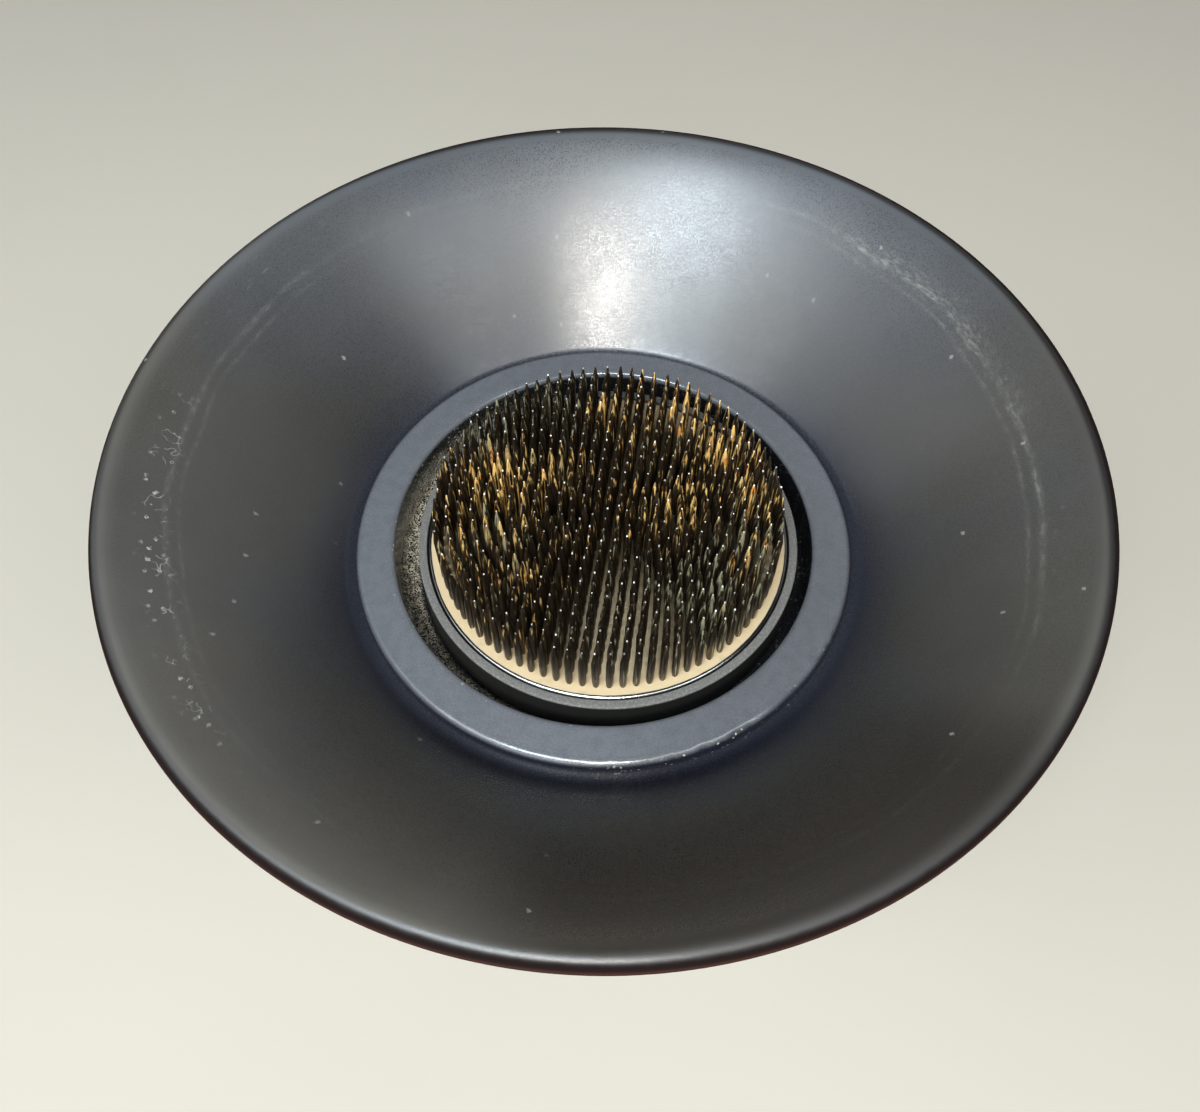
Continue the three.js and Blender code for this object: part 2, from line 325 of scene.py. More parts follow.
class Graph:
    """The node tree of one new material, or of the world."""

    def __init__(self, owner: bpy.types.Material | bpy.types.World) -> None:
        """Empties the owner's tree."""
        owner.use_nodes = True
        self.owner = owner
        self.tree = owner.node_tree
        self.tree.nodes.clear()

    def node(
        self,
        kind: str,
        values: Sockets | None = None,
        output: int | str = 0,
        **settings: str,
    ) -> Signal:
        """Adds a node of any type.

        Args:
            kind: the node's type.
            values: a link or a constant for its sockets, by name or number.
            output: the output that is wanted, by name or number.
            settings: the node's properties, set before the values.

        Returns:
            The wanted output.
        """
        made = self.tree.nodes.new(kind)
        for name, value in settings.items():
            setattr(made, name, value)
        for name, value in (values or {}).items():
            if isinstance(value, Signal):
                self.tree.links.new(value.socket, made.inputs[name])
            elif isinstance(value, tuple) and made.inputs[name].type == "RGBA":
                made.inputs[name].default_value = (*value, 1.0)
            else:
                made.inputs[name].default_value = value
        return Signal(self, made.outputs[output])

    def position(self) -> Signal:
        """The surface point in the part's own frame."""
        return self.node("ShaderNodeTexCoord", output="Object")

    def axes(self) -> tuple[Signal, Signal, Signal]:
        """The surface point's three coordinates.

        Returns:
            x, y and z.
        """
        split = self.node("ShaderNodeSeparateXYZ", {0: self.position()})
        outputs = split.socket.node.outputs
        return Signal(self, outputs[0]), Signal(self, outputs[1]), Signal(self, outputs[2])

    def scaled(self, scale: tuple[float, float, float]) -> Signal:
        """The surface point, with a factor for each of x, y and z."""
        return self.node("ShaderNodeVectorMath", {0: self.position(), 1: scale}, operation="MULTIPLY")

    def noise(self, grain: float, detail: float = 2.0, at: Signal | None = None) -> Signal:
        """Smooth noise from 0 to 1.

        Args:
            grain: size of its features in metres, or in the units of the coordinates.
            detail: number of finer layers.
            at: coordinates, or none for the surface point.

        Returns:
            The noise value.
        """
        return self.node("ShaderNodeTexNoise", {
            "Vector": at or self.position(), "Scale": 1.0 / grain, "Detail": detail,
        })

    def wobble(self, grain: float, detail: float, span: float, at: Signal | None = None) -> Signal:
        """Smooth noise round 0, from half the span below it to half the span above."""
        return (self.noise(grain, detail, at) - 0.5) * span

    def flecks(
        self,
        cell: float,
        size: float,
        share: float,
        at: Signal | None = None,
        flat: bool = False,
    ) -> Signal:
        """Small ragged spots: inside a fleck's radius of each cell's own point, in a share of the
        cells. The radius is ragged by noise as wide as a fleck.

        Args:
            cell: size of a cell.
            size: radius of a fleck as a part of a cell.
            share: part of the cells that hold a fleck.
            at: coordinates, or none for the surface point.
            flat: whether the cells are squares of x and y alone, as on a face that lies nearly level.

        Returns:
            1 on a fleck and 0 beside it.
        """
        vector = at or self.position()
        values = {"Vector": vector, "Scale": 1.0 / cell}
        nearest = self.node("ShaderNodeTexVoronoi", values, voronoi_dimensions="2D" if flat else "3D")
        cells = Signal(self, nearest.socket.node.outputs["Color"])
        chance = self.node("ShaderNodeSeparateColor", {0: cells})
        ragged = nearest + self.wobble(cell * size * 0.8, 2.0, size * 2.4, vector)
        return ragged.rise(size, size * 0.7) * chance.rise(share, share * 0.9)

    def mix(self, share: Number, below: Signal | Colour, above: Signal | Colour) -> Signal:
        """A colour between two others, with share 0 giving the one below and 1 the one above."""
        return self.node("ShaderNodeMix", {0: share, 6: below, 7: above}, 2, data_type="RGBA")

    def bump(self, height: Signal, depth: float, under: Signal | None = None) -> Signal:
        """A normal from a height.

        Args:
            height: the height from 0 to 1.
            depth: how much height 1 stands out, in metres.
            under: a normal from a bump below this one.

        Returns:
            The normal.
        """
        values: Sockets = {"Height": height, "Distance": depth}
        if under:
            values["Normal"] = under
        return self.node("ShaderNodeBump", values)

    def principled(self, values: Sockets) -> Signal:
        """A Principled shader with a link or a constant for each of its sockets that is named."""
        return self.node("ShaderNodeBsdfPrincipled", values)

    def finish(
        self,
        surface: Signal,
        output: str = "ShaderNodeOutputMaterial",
    ) -> bpy.types.Material | bpy.types.World:
        """The finished material or world, whose surface is the shader."""
        self.tree.links.new(surface.socket, self.tree.nodes.new(output).inputs["Surface"])
        return self.owner

    def shade(self, values: Sockets) -> bpy.types.Material:
        """The finished material, with one Principled shader as its surface."""
        return self.finish(self.principled(values))


class Place:
    """Where a surface point of a round piece lies: x, y, z and the radius from an upright axis."""

    def __init__(self, graph: Graph, centre_x: float = 0.0) -> None:
        """Splits the graph's surface point, with x counted from the axis."""
        x, self.y, self.z = graph.axes()
        self.x = x - centre_x if centre_x else x
        self.radius = (self.x * self.x + self.y * self.y).root()
        self.graph = graph

    def toward(self, degrees: float, low: float, high: float) -> Signal:
        """How nearly the point lies in a direction round the axis, by a smooth step of the cosine of
        the angle between them.

        Args:
            degrees: the direction.
            low: cosine where the step is 0.
            high: cosine where the step is 1.

        Returns:
            The step, between 0 and 1.
        """
        ahead = direction(degrees)
        cosine = (self.x * float(ahead[0]) + self.y * float(ahead[1])) / self.radius
        return cosine.rise(low, high)

    def circling(self, ring: Signal, across: float, along: float, reach: float) -> Signal:
        """Coordinates that run round the axis and meet themselves at the front: a radius over one
        length, and the arc at one reach from the axis over another.

        Args:
            ring: the radius.
            across: length that counts as 1 across the rings.
            along: length that counts as 1 along them.
            reach: radius at which the arc is measured.

        Returns:
            The coordinates.
        """
        turn = self.graph.node("ShaderNodeMath", {0: self.x, 1: self.y}, operation="ARCTAN2")
        return self.graph.node("ShaderNodeCombineXYZ", {0: ring / across, 1: turn * (reach / along)})


@dataclass(frozen=True)
class Glaze:
    """Satin charcoal glaze with a fine grain, for the dish or for the body."""

    wear: Wear
    charcoal: Colour = (0.0250, 0.0238, 0.0220)
    slate: Colour = (0.0215, 0.0228, 0.0260)
    # Bluish glaze in the cove by the collar, darkened there as painted crease shade; the next colour is
    # the darker painted shade of the cove at the front.
    cove_blue_and_shade: Colour = (0.0125, 0.0150, 0.0230)
    cove_front_shadow: Colour = (0.0030, 0.0045, 0.0110)
    # Painted shade: near black inside the well.
    well_shade_black: Colour = (0.006, 0.006, 0.007)
    collar_slate: Colour = (0.104, 0.111, 0.125)
    # Darker collar tone, used for its random mottle and for painted shade towards the front right.
    collar_mottle_and_shade: Colour = (0.078, 0.083, 0.093)
    # Painted shadow: warm dark brown over the front of the flare.
    front_shadow_brown: Colour = (0.0120, 0.0085, 0.0040)
    # A pale tone mixed into the glaze, more towards the rim; the next colour is the same tone, bluer,
    # used at the back.
    pale_tone: Colour = (0.36, 0.345, 0.30)
    pale_tone_back: Colour = (0.41, 0.46, 0.54)
    lime: Colour = (0.37, 0.375, 0.33)
    sand: Colour = (0.52, 0.48, 0.375)
    # Painted shade: near black on the outer lip, and dark brown in the matt shader where the rim turns
    # down.
    rim_shade_black: Colour = (0.0060, 0.0050, 0.0050)
    rim_shade_brown: Colour = (0.0100, 0.0062, 0.0058)
    # Painted reflection: a thin warm red line round the rim's edge.
    rim_red_reflection: Colour = (0.050, 0.019, 0.015)
    clay: Colour = (0.075, 0.052, 0.038)
    grit: Colour = (0.11, 0.085, 0.065)
    pale_tone_share: float = 0.095
    smooth: float = 0.24
    dullness: float = 0.190
    index: float = 1.6
    cloud: float = 38 * MM
    pale_tone_cloud: float = 16 * MM
    mottle: float = 2.4 * MM
    grain: float = 0.42 * MM
    grain_depth: float = 0.021 * MM
    dull_grain: float = 0.38 * MM
    peel: float = 1.6 * MM
    peel_depth: float = 0.035 * MM
    grit_grain: float = 0.7 * MM
    grit_depth: float = 0.12 * MM
    cove_width: float = 13 * MM
    front_start: float = 76 * MM
    front_full: float = 98 * MM
    pale_tone_start: float = 60 * MM
    pale_tone_full: float = 112 * MM
    lip_start: float = 107.5 * MM
    lip_crest: float = 109.6 * MM
    waterline: float = 99.4 * MM
    drift: float = 3.4 * MM
    red_level: float = 237.6 * MM
    wall_slope: float = 0.905
    wall_cone: float = 136.5 * MM
    bare_foot: float = 2.2 * MM
    bare_spigot: float = 172.6 * MM
    bed: float = 47 * MM

    def build(self) -> bpy.types.Material:
        """The glaze for its kind of wear.

        Returns:
            The material.
        """
        graph = Graph(bpy.data.materials.new(f"glaze_{self.wear.value}"))
        at = Place(graph)
        lip = at.radius.rise(self.lip_start, self.lip_start + 2 * MM)
        colour = graph.mix(graph.noise(self.cloud, 3.0).rise(0.35, 0.7), self.charcoal, self.slate)
        dull = graph.noise(self.dull_grain, 2.0).rise(0.38, 0.62)
        dull += (0.55 - dull) * lip * 0.6
        rough = self.smooth + dull * self.dullness + graph.wobble(9 * MM, 3.0, 0.08)
        rough += lip * (0.07 + 0.16 * at.toward(312, 0.70, 0.96))
        normal = graph.bump(graph.noise(self.grain, 2.0) * (1.0 - lip * 0.35), self.grain_depth)
        unglazed = self.bare_spigot if self.wear is Wear.WATERLINE else self.bare_foot
        clay_edge = at.z + graph.wobble(6 * MM, 2.0, 1.2 * MM)
        bare = clay_edge.rise(unglazed + 0.3 * MM, unglazed - 0.3 * MM)
        grit = graph.noise(self.grit_grain, 3.0)
        colour = graph.mix(bare, colour, graph.mix(grit.rise(0.3, 0.75), self.clay, self.grit))
        rough += bare * 0.35
        normal = graph.bump(grit * bare, self.grit_depth, normal)
        if self.wear is Wear.WATERLINE:
            return self._dish(at, colour, rough, normal)
        return graph.shade({
            "Base Color": colour, "Roughness": rough, "Normal": normal, "IOR": self.index,
        })

    def _dish(self, at: Place, colour: Signal, rough: Signal, normal: Signal) -> bpy.types.Material:
        """The dish's glaze: bluish round the collar with painted shade in the crease, painted shadow in
        brown at the front, paler outwards and bluer at the back, with a painted reflection on the left
        lip and at the front left and painted shade at the front right, painted shade in black in the
        well, lime at the waterline and in the well, and painted shade as a dark matt shader where the
        rim turns down, with a painted warm reflection as a red line.

        Args:
            at: the surface point.
            colour: the plain glaze colour.
            rough: the plain roughness.
            normal: the grain's normal.

        Returns:
            The material.
        """
        graph, radius, upper = at.graph, at.radius, self._upper(at)
        collar = radius.rise(COLLAR_RADIUS + 0.4 * MM, COLLAR_RADIUS + 0.1 * MM) * upper
        collar *= at.z.rise(COLLAR_LEVEL - 2.1 * MM, COLLAR_LEVEL - 0.9 * MM)
        # Painted shade: the cove darkens towards the collar's crease to a bluish dark, darker still at
        # the front.
        cove = radius.rise(COLLAR_RADIUS + self.cove_width, COLLAR_RADIUS + 1 * MM) * (upper - collar)
        cove_tint_and_shade = graph.mix(at.toward(270, 0.60, 0.97), self.cove_blue_and_shade, self.cove_front_shadow)
        colour = graph.mix(cove * 0.85, colour, cove_tint_and_shade)
        # Painted shadow: the front of the flare is darkened to a warm brown, outwards from front_start.
        warm = at.toward(290, 0.55, 0.95) * radius.rise(self.front_start, self.front_full)
        colour = graph.mix(warm * upper * 0.75, colour, self.front_shadow_brown)
        # A pale tone mixed in more towards the rim, in clouds, and bluer towards the back.
        cloudy = 0.75 + 0.5 * graph.noise(self.pale_tone_cloud, 3.0)
        # Painted reflection: the pale tone is stronger at the front left. Painted shade: at the front
        # right it is almost taken away.
        thick = 1.0 + 0.35 * at.toward(230, 0.75, 0.97)
        front_right_shade_factor = 1.0 - 0.85 * at.toward(290, 0.80, 0.93)
        paler_outwards = radius.rise(self.pale_tone_start, self.pale_tone_full) * cloudy * thick * front_right_shade_factor * upper
        # Painted reflection: a pale band along the lip's crest on the left.
        lip_reflection = radius.bell(self.lip_crest, 1.7 * MM) * at.toward(195, 0.0, 0.8)
        pale_tone = graph.mix(at.toward(90, 0.1, 0.9), self.pale_tone, self.pale_tone_back)
        colour = graph.mix((paler_outwards + lip_reflection * 0.7) * self.pale_tone_share, colour, pale_tone)
        # Painted shade: the outer lip is coloured near black, from further in towards the back right.
        reach = radius + at.toward(55, -0.1, 0.8) * (1.3 * MM)
        rim_shade = reach.rise(RIM_RADIUS - 3.1 * MM, RIM_RADIUS - 1.5 * MM)
        colour = graph.mix(rim_shade, colour, self.rim_shade_black)
        # Random mottle on the collar, plus painted shade darkening it towards the front right.
        mottle_and_shade = graph.noise(self.mottle, 3.0).rise(0.35, 0.7) * 0.5 + 0.5 * at.toward(322, 0.5, 1.0)
        colour = graph.mix(collar, colour, graph.mix(mottle_and_shade, self.collar_slate, self.collar_mottle_and_shade))
        # Painted shade: the well's wall and floor are coloured near black.
        well = radius.rise(WELL_RADIUS + 0.3 * MM, WELL_RADIUS - 0.1 * MM)
        well *= at.z.rise(COLLAR_LEVEL - 0.6 * MM, COLLAR_LEVEL - 2.0 * MM) * upper
        colour = graph.mix(well, colour, self.well_shade_black)
        normal = graph.bump(graph.noise(self.peel, 2.0) * collar, self.peel_depth, normal)
        lime = self._lime(at) * upper
        polish = 2.0 * radius.bell(WELL_RADIUS + 0.4 * MM, 0.7 * MM)
        polish += radius.bell(COLLAR_RADIUS - 1.3 * MM, 0.7 * MM)
        glaze = graph.principled({
            "Base Color": graph.mix(lime, colour, graph.mix(well, self.lime, self.sand)),
            "Roughness": rough + lime * 0.25 - collar * 0.04 - polish * 0.11,
            "Normal": normal,
            "IOR": self.index,
        })
        # Painted shade: a dark matt shader that reflects almost nothing, mixed in where the rim turns
        # down.
        matt = graph.principled({
            # Painted reflection: a thin warm red line along the rim's edge, at red_level.
            "Base Color": graph.mix(at.z.bell(self.red_level, 0.5 * MM), self.rim_shade_brown, self.rim_red_reflection),
            "Roughness": 0.9,
            "Specular IOR Level": 0.05,
        })
        edge = reach + graph.wobble(3 * MM, 2.0, 0.4 * MM)
        rim_matt_shade = edge.rise(RIM_RADIUS - 1.8 * MM, RIM_RADIUS - 0.7 * MM)
        return graph.finish(graph.node("ShaderNodeMixShader", {0: rim_matt_shade, 1: glaze, 2: matt}))

    def _upper(self, at: Place) -> Signal:
        """1 on the dish's upper side and 0 under it, by a cone and a level inside its wall."""
        in_wall = (at.z - at.radius * self.wall_slope).rise(self.wall_cone, self.wall_cone + 2 * MM)
        return in_wall * at.z.rise(WELL_FLOOR - 1 * MM, WELL_FLOOR - 0.4 * MM)

    def _lime(self, at: Place) -> Signal:
        """How thick the dried lime is on the dish and in the well, between 0 and 1."""
        return at.graph.node("ShaderNodeClamp", {0: self._waterline(at) + self._well_lime(at)})

    def _waterline(self, at: Place) -> Signal:
        """Two thin broken rings with fibres along them and a broader band at the right. Outside them
        flecks and curls at the front left, faint streaks at the back left and a few stray flecks.

        Args:
            at: the surface point.

        Returns:
            How thick the lime is.
        """
        graph = at.graph
        line = self.waterline
        ring = at.radius - graph.wobble(30 * MM, 2.0, self.drift)
        fibres = graph.noise(1.0, 3.0, at.circling(ring, 0.6 * MM, 2.4 * MM, line)).rise(0.40, 0.70)
        patchy = graph.noise(7 * MM, 3.0).rise(0.35, 0.65)
        right = at.toward(20, 0.55, 0.95)
        front_left = at.toward(198, 0.84, 0.97)
        shown = 0.06 + 0.11 * right + 0.06 * at.toward(180, 0.72, 0.95)
        shown *= (1.0 - 0.7 * at.toward(285, 0.4, 0.9)) * (0.35 + 0.65 * patchy)
        rings = ring.bell(line, 0.55 * MM) + 0.6 * ring.bell(line - 2.4 * MM, 0.4 * MM)
        band = ring.bell(line + 0.8 * MM, 2.0 * MM) * at.toward(32, 0.88, 0.97)
        broken = (rings * (0.4 + fibres) + band * fibres * 1.1) * shown
        chips = graph.flecks(2.6 * MM, 0.17, 0.42, graph.scaled((1.0, 0.8, 1.0)), flat=True)
        chips *= 0.25 + 1.1 * graph.noise(0.6 * MM, 3.0).rise(0.40, 0.62)
        chips *= ring.bell(line + 2.4 * MM, 1.8 * MM) * (front_left + 0.08 * right)
        curls = graph.noise(2.6 * MM, 1.0).bell(0.5, 0.016) * graph.noise(5 * MM, 1.0).rise(0.565, 0.62)
        curls *= ring.bell(line + 1.6 * MM, 2.2 * MM) * front_left * 0.8
        streaks = graph.noise(1.0, 2.0, at.circling(ring, 0.7 * MM, 5 * MM, line)).rise(0.62, 0.76)
        streaks *= ring.bell(line + 5 * MM, 2.4 * MM) * at.toward(152, 0.88, 0.98) * 0.22
        stray = graph.flecks(14 * MM, 0.035, 0.25, flat=True) * at.radius.rise(66 * MM, 72 * MM)
        return broken + chips + curls + streaks + stray * 0.4

    def _well_lime(self, at: Place) -> Signal:
        """Sandy crust low in the well at the left, specks on the collar's inner edge at the front
        left, and chips of its outer edge at the front right.

        Args:
            at: the surface point.

        Returns:
            How thick the lime is.
        """
        graph = at.graph
        left = at.toward(190, -0.1, 0.75)
        inside = at.radius.rise(WELL_RADIUS + 0.9 * MM, WELL_RADIUS + 0.2 * MM)
        inside *= at.radius.rise(self.bed, self.bed + 1.5 * MM)
        low = at.z.rise(COLLAR_LEVEL - 3.5 * MM, COLLAR_LEVEL - 8 * MM)
        sand = graph.noise(0.38 * MM, 4.0).rise(0.43, 0.58)
        sand *= 0.35 + 0.65 * graph.noise(2.2 * MM, 3.0).rise(0.36, 0.56)
        crust = inside * sand * left * (0.08 + 0.92 * low)
        specks = graph.flecks(1.2 * MM, 0.28, 0.5) * inside * (0.10 + 0.7 * left)
        lip_specks = graph.flecks(1.5 * MM, 0.24, 0.45) * at.toward(228, 0.7, 0.95)
        lip_specks *= at.radius.bell(WELL_RADIUS + 1.0 * MM, 0.8 * MM) * 0.6
        worn = graph.flecks(1.3 * MM, 0.26, 0.5) * at.toward(298, 0.80, 0.97)
        worn *= at.radius.bell(COLLAR_RADIUS - 0.7 * MM, 0.7 * MM) * 0.9
        return crust + specks + lip_specks + worn


@dataclass(frozen=True)
class PlateFinish:
    """Cream coat on the lead plate, worn through to glossy lead on its rounded edge, darker inwards,
    with a painted pool of light at the front.
    """

    centre_x: float
    edge: float
    cream: Colour = (0.49, 0.385, 0.235)
    stain: Colour = (0.34, 0.26, 0.145)
    # Painted light: the paler cream of a lit patch at the front between the needles.
    bright: Colour = (0.80, 0.70, 0.48)
    inner_dark: Colour = (0.060, 0.048, 0.028)
    metal: Colour = (0.30, 0.30, 0.29)
    front_light_place: tuple[float, float] = (3 * MM, -32 * MM)
    front_light_reach: tuple[float, float] = (13 * MM, 20 * MM)

    def build(self) -> bpy.types.Material:
        """The plate's material.

        Returns:
            The material.
        """
        graph = Graph(bpy.data.materials.new("plate_cream_and_lead"))
        at = Place(graph, self.centre_x)
        ragged = at.radius + graph.wobble(2.5 * MM, 3.0, 0.25 * MM)
        bare = ragged.rise(self.edge - 0.15 * MM, self.edge + 0.1 * MM)
        dirty = graph.noise(3.2 * MM, 4.0).rise(0.50, 0.80)
        # Painted light: a pool of pale cream at the front, among the needles.
        across = (at.x - self.front_light_place[0]) / self.front_light_reach[0]
        along = (at.y - self.front_light_place[1]) / self.front_light_reach[1]
        front = (across * across + along * along).root().rise(1.6, 0.3)
        # Darker inwards: cream near the edge and in the painted light at the front, dark towards the
        # middle.
        outside = at.radius.rise(self.edge - 9 * MM, self.edge - 2.5 * MM)
        cream_share = 1.0 - (1.0 - outside) * (1.0 - front * 0.95)
        cream = graph.mix(dirty * 0.5, self.cream, self.stain)
        cream = graph.mix(front * (1.0 - outside), cream, self.bright)
        cream = graph.mix(cream_share, self.inner_dark, cream)
        fine = graph.noise(0.5 * MM, 2.0)
        return graph.shade({
            "Base Color": graph.mix(bare, cream, self.metal),
            "Metallic": bare,
            "Roughness": 0.62 - bare * 0.42 + (fine - 0.5) * 0.08,
            "Normal": graph.bump(fine, 0.02 * MM),
        })


@dataclass(frozen=True)
class RubberFinish:
    """Grey rubber, dusty and speckled on its flat top, with painted shade making it black on its wall.
    """

    top: float
    grey: Colour = (0.103, 0.102, 0.097)
    pale: Colour = (0.24, 0.235, 0.222)
    # Painted shade: the colour of the rubber's wall.
    black: Colour = (0.012, 0.012, 0.011)
    speck: Colour = (0.05, 0.05, 0.048)

    def build(self) -> bpy.types.Material:
        """The rubber's material.

        Returns:
            The material.
        """
        graph = Graph(bpy.data.materials.new("rubber_grey"))
        _, _, z = graph.axes()
        # Painted shade: the wall below the top is coloured near black.
        wall = z.rise(self.top - 0.25 * MM, self.top - 0.9 * MM)
        dust = graph.noise(0.55 * MM, 3.0).rise(0.42, 0.75)
        grey = graph.mix(dust * 0.55, self.grey, self.pale)
        grey = graph.mix(graph.flecks(0.9 * MM, 0.22, 0.35) * 0.5, grey, self.speck)
        return graph.shade({
            "Base Color": graph.mix(wall, grey, self.black),
            "Roughness": 0.72 - wall * 0.3,
            "Normal": graph.bump(graph.noise(0.4 * MM, 2.0), 0.04 * MM),
        })


@dataclass(frozen=True)
class NeedleFinish:
    """Tarnished brass pins: near black, with gold and olive streaks, partly bare brass where the
    tarnish is thin and partly painted highlight, most on the tapers.
    """

    tip_start: float
    tarnish: Colour = (0.020, 0.013, 0.008)
    brown: Colour = (0.105, 0.072, 0.038)
    gold: Colour = (0.80, 0.52, 0.17)
    orange: Colour = (0.66, 0.27, 0.07)
    olive: Colour = (0.25, 0.24, 0.155)
    # Painted glint: white at the tips of some needles.
    glint_silver: Colour = (0.92, 0.91, 0.88)
    streak: float = 0.50 * MM
    drawn_out: float = 0.045

    def build(self) -> bpy.types.Material:
        """The needles' material. It reads how bare each needle is, with painted highlight, how olive,
        and how strong the painted glint at its tip is, from the attributes bare, hue and glint.

        Returns:
            The material.
        """
        graph = Graph(bpy.data.materials.new("needle_tarnished_brass"))
        _, _, z = graph.axes()
        bare, hue, glint = (
            graph.node("ShaderNodeAttribute", output="Fac", attribute_name=name)
            for name in ("bare", "hue", "glint")
        )
        tall = graph.scaled((1.0, 1.0, self.drawn_out))
        # Partly painted highlight: gold, orange and olive streaks where the tarnish is worn, more of
        # them on the taper and on needles marked bare, where light catches the needles.
        taper = z.rise(self.tip_start - 6.5 * MM, self.tip_start - 4.2 * MM)
        streak = graph.noise(self.streak, 1.0, tall) + bare * (0.20 + 0.08 * taper)
        worn = streak.rise(0.62, 0.78)
        mottle = graph.noise(0.8 * MM, 2.0, tall).rise(0.40, 0.70)
        dark = graph.mix(mottle * (0.25 + 0.75 * bare), self.tarnish, self.brown)
        warm = graph.mix(graph.noise(2.3 * MM, 2.0).rise(0.50, 0.66), self.gold, self.orange)
        metal = graph.mix(hue.rise(0.15, 0.85), warm, self.olive)
        # Painted glint: a white dot of colour at the tip, strong on few needles.
        tip = z.rise(self.tip_start, self.tip_start + 0.12 * MM) * glint
        return graph.shade({
            "Base Color": graph.mix(tip, graph.mix(worn, dark, metal), self.glint_silver),
            "Metallic": 0.6 - worn * 0.4 - tip * 0.2,
            "Roughness": 0.36 - worn * 0.06 + (mottle - 0.5) * 0.08,
            "Normal": graph.bump(graph.noise(0.35 * MM, 2.0), 0.015 * MM),
        })


@dataclass
class UpperDish:
    """The flared dish with its rolled lip, raised collar, well and spigot."""

    rim_radius: float = RIM_RADIUS
    top: float = 240 * MM
    lip_radius: float = 3.0 * MM
    wall: float = 6 * MM
    start_slope: float = 42
    end_slope: float = 30
    start_reach: float = 15 * MM
    end_reach: float = 12 * MM
    collar_outer: float = COLLAR_RADIUS
    collar_top: float = COLLAR_LEVEL
    collar_fall: float = 0.8 * MM
    collar_edge_round: float = 2.2 * MM
    collar_inner_round: float = 1.2 * MM
    collar_side: float = 1.7 * MM
    cove_radius: float = 5 * MM
    well_radius: float = WELL_RADIUS
    well_floor: float = WELL_FLOOR
    well_corner: float = 2.4 * MM
    well_underside: float = 183.2 * MM
    seat_radius: float = 49 * MM
    seat_level: float = 180.2 * MM
    seat_slope: float = 18
    seat_reach: float = 10 * MM
    bowl_reach: float = 5 * MM
    spigot_outer: float = 36 * MM
    spigot_inner: float = 30 * MM
    spigot_foot: float = 171.2 * MM
    spigot_round: float = 0.8 * MM
    segments: int = 320
    chips: int = 22
    chip_place: tuple[float, float] = (-58, 20)
    chip_sizes: tuple[float, float] = (0.5 * MM, 1.3 * MM)
    chip_depths: tuple[float, float] = (0.08 * MM, 0.28 * MM)
    seed: int = 11

    def flare(self) -> Array:
        """The dish's upper surface from the collar's cove to the lip, as a cubic Bezier curve.

        Returns:
            The curve's points, from the cove outwards.
        """
        cove = self._cove_centre() + self.cove_radius * direction(self.start_slope - 90)
        lip = self._lip_centre() + self.lip_radius * direction(self.end_slope + 90)
        leave = self.start_reach * direction(self.start_slope)
        return bezier(cove, leave, lip, self.end_reach * direction(self.end_slope), 64)

    def _lip_centre(self) -> Array:
        """The centre of the lip's round section."""
        return np.array([self.rim_radius - self.lip_radius, self.top - self.lip_radius])

    def _cove_centre(self) -> Array:
        """The centre of the hollow curve where the flare meets the collar."""
        crease = self.collar_top - self.collar_fall - self.collar_edge_round - self.collar_side
        return np.array([self.collar_outer, crease + self.cove_radius])

    def outline(self) -> Array:
        """The dish's section, from the axis under the well round the lip to the axis in the well.

        Returns:
            Radius and height, one point a row.
        """
        flare = self.flare()
        share = np.linspace(0.0, 1.0, len(flare))
        under = beside(flare, self.wall + (2 * self.lip_radius - self.wall) * share**2)
        seat = np.array([self.seat_radius, self.seat_level])
        leave = self.seat_reach * direction(self.seat_slope)
        bowl = bezier(seat, leave, under[0], self.bowl_reach * direction(self.start_slope), 12)
        bead = self.spigot_round
        crest = (self.collar_outer, self.collar_top - self.collar_fall)
        return profile(
            (0.0, self.well_underside),
            (self.spigot_inner * 0.5, self.well_underside), 4,
            corner((self.spigot_inner, self.well_underside), bead, 90, 0, 4), 4,
            corner((self.spigot_inner, self.spigot_foot), bead, 180, 270, 4),
            corner((self.spigot_outer, self.spigot_foot), bead, 270, 360, 4), 4,
            (self.spigot_outer, self.seat_level),
            (self.spigot_outer + 1 * MM, self.seat_level), 6,
            bowl,
            under,
            arc(self._lip_centre(), self.lip_radius, self.end_slope - 90, self.end_slope + 90, 36),
            flare[::-1],
            arc(self._cove_centre(), self.cove_radius, self.start_slope - 90, -90, 10),
            corner(crest, self.collar_edge_round, 0, 90, 14), 8,
            corner((self.well_radius, self.collar_top), self.collar_inner_round, 90, 180, 10), 8,
            corner((self.well_radius, self.well_floor), self.well_corner, 0, -90, 10), 10,
            (self.well_radius * 0.4, self.well_floor),
            (0.0, self.well_floor),
        )

    def _chipped(self, points: Array) -> Array:
        """Small chips out of the collar's outer edge at the front and right, whose angles have the
        mean and spread of chip_place: each pushes the points near it down and inwards by its depth
        times e to the power -(distance / size) squared.

        Args:
            points: the dish's points.

        Returns:
            The points with the chips in them.
        """
        random = np.random.default_rng(self.seed)
        angles = np.radians(random.normal(*self.chip_place, self.chips))
        sizes = random.uniform(*self.chip_sizes, self.chips)
        depths = random.uniform(*self.chip_depths, self.chips)
        worn = 0.3 * self.collar_edge_round
        centres = np.column_stack((
            (self.collar_outer - worn) * np.cos(angles),
            (self.collar_outer - worn) * np.sin(angles),
            np.full(self.chips, self.collar_top - self.collar_fall - worn),
        ))
        distance = np.linalg.norm(points[:, None, :] - centres[None], axis=2)
        amount = (depths * np.exp(-((distance / sizes) ** 2))).sum(axis=1)
        inwards = np.column_stack((
            -points[:, :2] / (self.collar_outer * 1.4), np.full(len(points), -0.7),
        ))
        return points + inwards * amount[:, None]

    def build(self) -> bpy.types.Object:
        """The dressed dish.

        Returns:
            The new piece.
        """
        surface = turned(self.outline(), self.segments)
        surface.points = self._chipped(surface.points)
        dish = surface.make("dish_glazed", Glaze(Wear.WATERLINE).build())
        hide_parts("upper_dish")
        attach(dish, "dish")
        return dish


